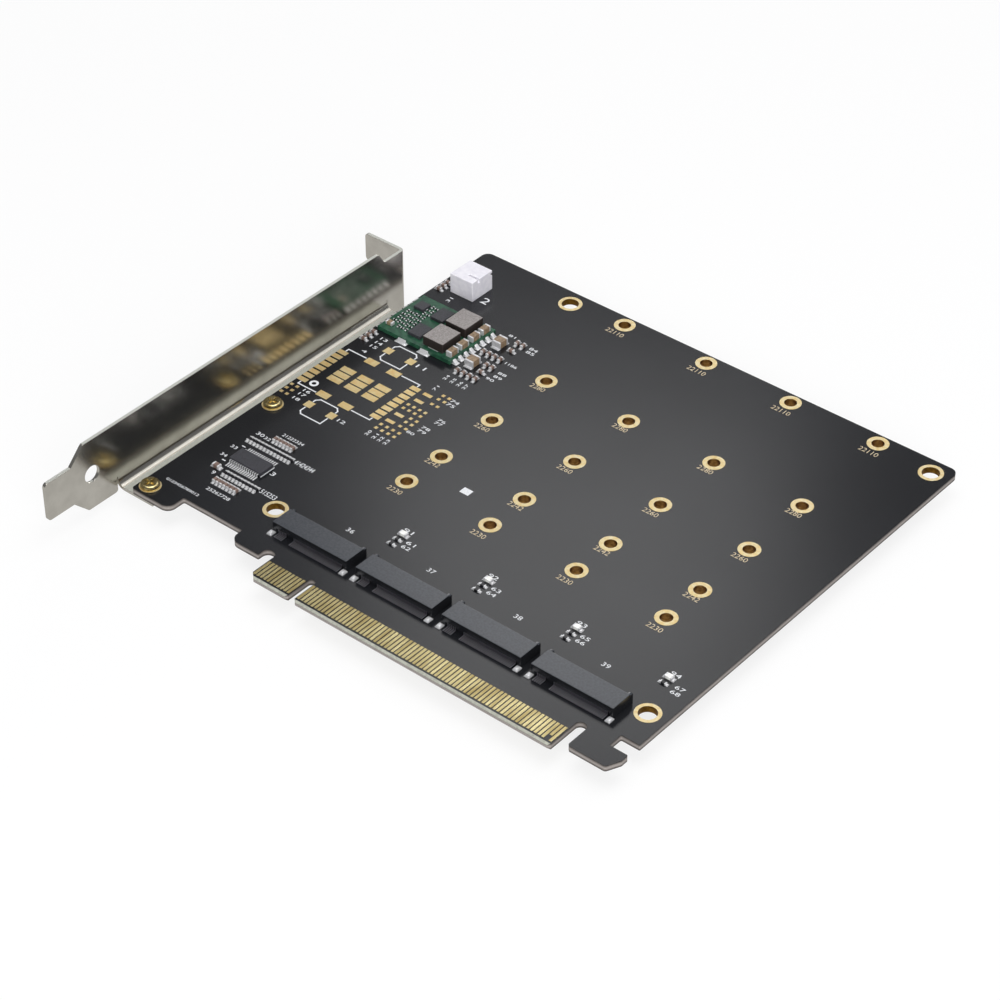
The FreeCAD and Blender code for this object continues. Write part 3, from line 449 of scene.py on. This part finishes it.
def dome(bm, low, high, base, rise, grid=6):
    """Adds a pillow that fills the box from low to high in plan, closed by a flat base. The powers
    keep it full on top and steep at the rim."""
    rows = []
    for i in range(grid + 1):
        u = i / grid
        rows.append([])
        for j in range(grid + 1):
            v = j / grid
            swell = (1 - (2 * u - 1) ** 4) * (1 - (2 * v - 1) ** 4)
            rows[-1].append(bm.verts.new((low.x + (high.x - low.x) * u, low.y + (high.y - low.y) * v,
                                          base + rise * swell ** 0.6)))
    for i in range(grid):
        for j in range(grid):
            bm.faces.new((rows[i][j], rows[i + 1][j], rows[i + 1][j + 1], rows[i][j + 1]))
    rim = [rows[i][0] for i in range(grid + 1)] + rows[grid][1:]
    rim += [rows[i][grid] for i in range(grid - 1, -1, -1)] + [rows[0][j] for j in range(grid - 1, 0, -1)]
    bm.faces.new(list(reversed(rim)))


def soldered(name, share, most_mm):
    """A pad node with a dome on each pad, as high as a share of the pad's narrow side."""
    bm = merged(name)
    tops = [f for f in bm.faces if f.normal.z > 0.9]
    boxes = []
    for face in tops:
        corners = [v.co for v in face.verts]
        boxes.append((Vector([min(c[k] for c in corners) for k in range(3)]),
                      Vector([max(c[k] for c in corners) for k in range(3)])))
    for low, high in boxes:
        rise = min(share * min(high.x - low.x, high.y - low.y), most_mm * MM)
        dome(bm, low, high, low.z - DOME_SUNK * MM, rise)
    print(name, "domes:", len(boxes))
    return adopt(finish_mesh(bm, name + "_dressed", SOLDER), slot_of(name), name)


dressed.append(soldered("fitted_part_pads", 0.30, 0.32))
for i in MODULES:
    dressed.append(soldered("socket_%d_solder_tabs" % i, 0.30, 0.6))

# %% [markdown]
# ## Rounded joints along the small board
#
# The power module is soldered by half holes in its edges. The solder stands there in round beads,
# so each wedge of the solid is rounded until it reads as a bead.


# %% Beads on the module's edge
beads = dress("regulator_solder_joints", SOLDER, 0.24, 3)
dressed.append(beads)
print("bead faces:", len(beads.data.polygons))

# %% [markdown]
# ## Printed numbers
#
# A board carries small printed numbers beside its parts, and the length of module that each screw
# row holds. One node tree turns a string into a thin closed letter plate: the curves are filled,
# lifted by the thickness of the ink, and closed underneath.


# %% A node tree that prints a string
def print_tree():
    tree = bpy.data.node_groups.new("Printed number", "GeometryNodeTree")
    for name, kind in (("Text", "NodeSocketString"), ("Height", "NodeSocketFloat"),
                       ("Thickness", "NodeSocketFloat"), ("Ink", "NodeSocketMaterial")):
        tree.interface.new_socket(name, in_out="INPUT", socket_type=kind)
    tree.interface.new_socket("Geometry", in_out="OUTPUT", socket_type="NodeSocketGeometry")
    given = node(tree, "NodeGroupInput")
    text = node(tree, "GeometryNodeStringToCurves", {"align_x": "CENTER", "align_y": "MIDDLE"},
                String=given.outputs["Text"], Size=given.outputs["Height"])
    letters = node(tree, "GeometryNodeRealizeInstances", Geometry=text.outputs[0])
    coarse = node(tree, "GeometryNodeSetSplineResolution", Geometry=letters.outputs[0], Resolution=3)
    plate = node(tree, "GeometryNodeFillCurve", Curve=coarse.outputs[0])
    lifted = node(tree, "GeometryNodeExtrudeMesh", Mesh=plate.outputs[0],
                  Offset_Scale=given.outputs["Thickness"], Individual=False)
    under = node(tree, "GeometryNodeFlipFaces", Mesh=plate.outputs[0])
    joined = node(tree, "GeometryNodeJoinGeometry", Geometry=lifted.outputs[0])
    tree.links.new(under.outputs[0], joined.inputs[0])
    closed = node(tree, "GeometryNodeMergeByDistance", Geometry=joined.outputs[0], Distance=1e-7)
    inked = node(tree, "GeometryNodeSetMaterial", Geometry=closed.outputs[0], Material=given.outputs["Ink"])
    node(tree, "NodeGroupOutput", Geometry=inked.outputs[0])
    return tree


PRINT_TREE = print_tree()
SOCKET_IDS = {item.name: item.identifier for item in PRINT_TREE.interface.items_tree
              if item.in_out == "INPUT"}
print("inputs:", SOCKET_IDS)


# %% Print a list of labels as one piece
INK_MM = 0.03           # thickness of a printed mark


def print_labels(name, labels, ink, slot):
    """labels holds (text, x mm, y mm, width mm, height mm, quarter turns) on the component side."""
    carrier = bpy.data.objects.new(name + "_carrier", bpy.data.meshes.new(name + "_carrier"))
    bpy.context.collection.objects.link(carrier)
    printer = carrier.modifiers.new("Print", "NODES")
    printer.node_group = PRINT_TREE
    printer[SOCKET_IDS["Height"]] = 1.0
    printer[SOCKET_IDS["Thickness"]] = 1.0
    printer[SOCKET_IDS["Ink"]] = ink
    shapes, bm = {}, bmesh.new()
    for text, x, y, width, height, turns in labels:
        if text not in shapes:
            printer[SOCKET_IDS["Text"]] = text
            carrier.update_tag()
            bpy.context.view_layer.update()
            seen = carrier.evaluated_get(bpy.context.evaluated_depsgraph_get())
            shapes[text] = bpy.data.meshes.new_from_object(seen)
        letters = shapes[text]
        spans = [[f(v.co[k] for v in letters.vertices) for f in (min, max)] for k in (0, 1)]
        size = [high - low for low, high in spans]
        centre = [(low + high) / 2 for low, high in spans]
        place = (Matrix.Translation((x * MM, y * MM, FACE)) @ Matrix.Rotation(turns * math.pi / 2, 4, "Z")
                 @ Matrix.Diagonal((width * MM / size[0], height * MM / size[1], INK_MM * MM, 1))
                 @ Matrix.Translation((-centre[0], -centre[1], 0)))
        start = len(bm.verts)
        bm.from_mesh(letters)
        bm.verts.ensure_lookup_table()
        bmesh.ops.transform(bm, matrix=place, verts=bm.verts[start:])
    bpy.data.objects.remove(carrier)
    for face in bm.faces:
        face.material_index = 0
    bmesh.ops.recalc_face_normals(bm, faces=bm.faces)
    piece = finish_mesh(bm, name, ink)
    print(name, len(labels), "labels,", len(piece.data.polygons), "faces")
    return adopt(piece, slot)


# %% Size numbers beside the screw rows
FLAT, UPRIGHT = 0, 1            # quarter turns
BELOW_RING = dict(zip(LENGTHS, (4.1, 3.1, 3.6, 3.3, 3.9)))      # mm from the middle of the hole
DIGIT_WIDTH, DIGIT_HEIGHT = 1.02, 1.5
SIZE_NUMBERS = [(length, x / MM, ROWS[length] / MM - BELOW_RING[length], DIGIT_WIDTH * len(length),
                 DIGIT_HEIGHT, FLAT) for length in LENGTHS for x in COLUMNS]
print_labels("size_numbers", SIZE_NUMBERS, PRINT_GOLD, "gold_plating")

# %% [markdown]
# ## Part numbers
#
# The small white numbers sit beside the parts that they count: round both regulator places, along
# the clock chip, beside each indicator group and beside each socket. Each label is its text, its
# middle, and its width and height. Places are in mm, with y from the shortest module's screw row.


# %% Part numbers in white
ROW_30 = ROWS["2230"] / MM
BY_REGULATORS = [("11", -33.9, 35.2, 2.6, 1.3), ("12", -34.0, 7.2, 2.2, 1.1), ("4", -48.7, 31.5, 1.4, 0.9),
                 ("74", -18.7, 29.8, 2.4, 1.0), ("75", -18.7, 28.2, 2.4, 1.0), ("76", -16.2, 22.2, 2.2, 0.9),
                 ("77", -16.2, 20.9, 2.2, 0.9), ("78", -17.2, 17.7, 2.4, 0.9), ("79", -17.2, 16.2, 2.4, 0.9),
                 ("80", -18.9, 14.2, 2.2, 0.9), ("81", -25.4, 58.9, 2.0, 0.8), ("84", -17.9, 57.8, 2.4, 1.0),
                 ("85", -17.7, 56.3, 2.4, 1.0), ("1186", -18.0, 49.5, 3.4, 0.9),
                 ("88", -17.3, 45.4, 2.4, 0.9), ("89", -17.3, 43.7, 2.4, 0.9), ("90", -18.3, 42.0, 2.4, 0.9),
                 ("2", -40.0, 66.2, 2.0, 2.4)]
BY_SPARE_PADS = [(str(n), -48.2, y, 2.0, 1.0)
                 for n, y in ((13, 38.1), (14, 36.2), (15, 34.3), (16, 10.8), (17, 9.1), (18, 7.1))]
BY_CLOCK_CHIP = [("3", -32.6, -17.4, 1.2, 1.3), ("30", -45.0, -8.4, 2.2, 1.1), ("32", -42.6, -8.6, 1.8, 1.0),
                 ("33", -46.4, -15.7, 1.8, 1.0), ("34", -46.2, -19.3, 1.8, 1.0),
                 ("9", -43.4, -25.6, 0.9, 1.2), ("41424344", -29.0, -10.8, 5.8, 1.5),
                 ("515253", -28.2, -23.6, 4.6, 1.5), ("21222324", -37.8, -5.1, 6.4, 1.0),
                 ("25262728", -37.1, -30.6, 7.0, 1.0), ("0123456789012", -45.0, -33.9, 10.0, 0.8),
                 ("|", -34.0, -17.8, 0.3, 4.6), ("-", -44.8, -14.2, 1.0, 0.3), ("-", -44.8, -20.8, 1.0, 0.3)]
BY_SOCKETS = [(str(36 + n), x - 0.4, y, 2.0, 1.3)
              for n, (x, y) in enumerate(((-5.0, -21.3), (17.9, -20.4), (42.3, -20.2), (66.3, -20.3)))]
BY_INDICATORS = [(str(number), x + beside, y, width, height) for n, x in enumerate((4.7, 29.2, 53.8, 79.0))
                 for number, beside, y, width, height in ((91 + n, 0.0, -13.3, 2.6, 1.2),
                                                          (61 + 2 * n, 3.3, -16.3, 2.4, 1.1),
                                                          (62 + 2 * n, 3.3, -18.0, 2.4, 1.1))]
READ_FLAT = BY_REGULATORS + BY_SPARE_PADS + BY_CLOCK_CHIP + BY_SOCKETS + BY_INDICATORS
READ_UPRIGHT = [("71", -25.8, 31.2, 2.0, 0.8), ("31", -47.2, 61.0, 2.0, 1.0)]
BY_INPUTS = ((20, 8.0, (-26.4, -24.3, -22.6, -20.8)), (24, 36.0, (-26.7, -24.6, -22.6, -20.8)))
for first, y, columns in BY_INPUTS:
    READ_UPRIGHT += [(str(first + n), x, y, 2.1, 0.8) for n, x in enumerate(columns)]
PART_NUMBERS = [(text, x, y + ROW_30, width, height, turns)
                for turns, labels in ((FLAT, READ_FLAT), (UPRIGHT, READ_UPRIGHT))
                for text, x, y, width, height in labels]
print_labels("part_numbers", PART_NUMBERS, INK, "print_white")

# %% [markdown]
# ## Floor, light and camera
#
# A pale sweep under soft lamps, as in a product picture. The floor is white to the camera and to
# anything shiny, and keeps only the faint shadow under the card. The back window is what the board
# mirrors. The front fill lights the upright sides and is left out of mirror images, so that the
# black board stays black from behind.


# %% Studio floor
SEEN_WHITE, MIRRORED_WHITE = 1.0, 0.6      # how bright the paper is to the camera and in shiny things
SHADOW_KEPT = 0.2                           # share of real shading left in what the camera sees


def floor_material():
    made, tree, bsdf = material("White paper sweep", "#f4f4f4", 0.9, Specular_IOR_Level=0.2)
    rays = node(tree, "ShaderNodeLightPath")
    seen = node(tree, "ShaderNodeEmission", Color=(1, 1, 1, 1), Strength=SEEN_WHITE)
    mirrored = node(tree, "ShaderNodeEmission", Color=(1, 1, 1, 1), Strength=MIRRORED_WHITE)
    share = node(tree, "ShaderNodeMath", {"operation": "MULTIPLY"}, i0=rays.outputs["Is Camera Ray"],
                 i1=1 - SHADOW_KEPT).outputs[0]
    to_eye = node(tree, "ShaderNodeMixShader", i0=share, i1=bsdf.outputs[0], i2=seen.outputs[0])
    both = node(tree, "ShaderNodeMixShader", i0=rays.outputs["Is Glossy Ray"], i1=to_eye.outputs[0],
                i2=mirrored.outputs[0])
    out = next(n for n in tree.nodes if n.type == "OUTPUT_MATERIAL")
    join(tree, out, Surface=both.outputs[0])
    return made


FLOOR_HALF = 3.0
REST_Z = CAD_BOX[0][2]
bm = bmesh.new()
bmesh.ops.create_grid(bm, x_segments=1, y_segments=1, size=FLOOR_HALF)
bmesh.ops.translate(bm, verts=bm.verts, vec=(0, 0, REST_Z))
floor = finish_mesh(bm, "paper_sweep", floor_material())
print("floor at", round(REST_Z / MM, 2), "mm")


# %% World and lamps
CENTRE = (Vector(CAD_BOX[0]) + Vector(CAD_BOX[1])) / 2
LAMPS = (   # heading and rise in degrees, distance and size in metres, radiance, seen in mirror images
    ("Overhead softbox", 315, 84, 1.0, 0.9, 2.4, True),
    ("Front fill", 315, 25, 1.5, 1.0, 6.0, False),
    ("Back window", 127.0, 41.5, 1.5, 0.31, 2.25, True),
    ("Side window", 80, 60, 1.2, 0.8, 1.0, True),
    ("Rim light", 122, 9, 1.1, 0.4, 2.5, True))
AMBIENT = 0.19


def soft_lamp(name, heading, rise, distance, size, radiance, mirrored):
    """A square softbox that faces the card."""
    lamp = bpy.data.lights.new(name, "AREA")
    lamp.shape, lamp.size, lamp.energy = "SQUARE", size, radiance * math.pi * size ** 2
    made = bpy.data.objects.new(name, lamp)
    flat = math.cos(math.radians(rise))
    towards = Vector((flat * math.cos(math.radians(heading)), flat * math.sin(math.radians(heading)),
                      math.sin(math.radians(rise))))
    made.location = CENTRE + towards * distance
    made.rotation_euler = (-towards).to_track_quat("-Z", "Y").to_euler()
    made.visible_glossy = mirrored
    bpy.context.collection.objects.link(made)


world = bpy.data.worlds.new("Studio")
bpy.context.scene.world = world
world.use_nodes = True
sky = world.node_tree
sky.nodes.clear()
rays = node(sky, "ShaderNodeLightPath")
white = node(sky, "ShaderNodeBackground", Color=(1, 1, 1, 1), Strength=1.0)
ambient = node(sky, "ShaderNodeBackground", Color=linear("#f8f9ff"), Strength=AMBIENT)
mix = node(sky, "ShaderNodeMixShader", i0=rays.outputs["Is Camera Ray"], i1=ambient.outputs[0],
           i2=white.outputs[0])
node(sky, "ShaderNodeOutputWorld", Surface=mix.outputs[0])
for lamp in LAMPS:
    soft_lamp(*lamp)
print("lamps:", [lamp[0] for lamp in LAMPS])

# %% Camera
CAMERA_MM, AIM_MM = (351.03, -349.4, 418.05), (12.98, 55.21, 0.79)
LENS_MM, SENSOR_MM = 107.92, 36.0
camera = bpy.data.cameras.new("Camera")
camera.lens, camera.sensor_width = LENS_MM, SENSOR_MM
camera.clip_start, camera.clip_end = 0.05, 20.0
eye = bpy.data.objects.new("Camera", camera)
eye.location = Vector(CAMERA_MM) * MM
eye.rotation_euler = (Vector(AIM_MM) - Vector(CAMERA_MM)).to_track_quat("-Z", "Y").to_euler()
bpy.context.collection.objects.link(eye)
bpy.context.scene.camera = eye
print("camera at", [round(v, 3) for v in eye.location], "lens", LENS_MM)

# %% [markdown]
# ## View transform
#
# The view transform stays plain, so that a colour shows as it is written.

# %% Finish
bpy.context.scene.view_settings.view_transform = "Standard"
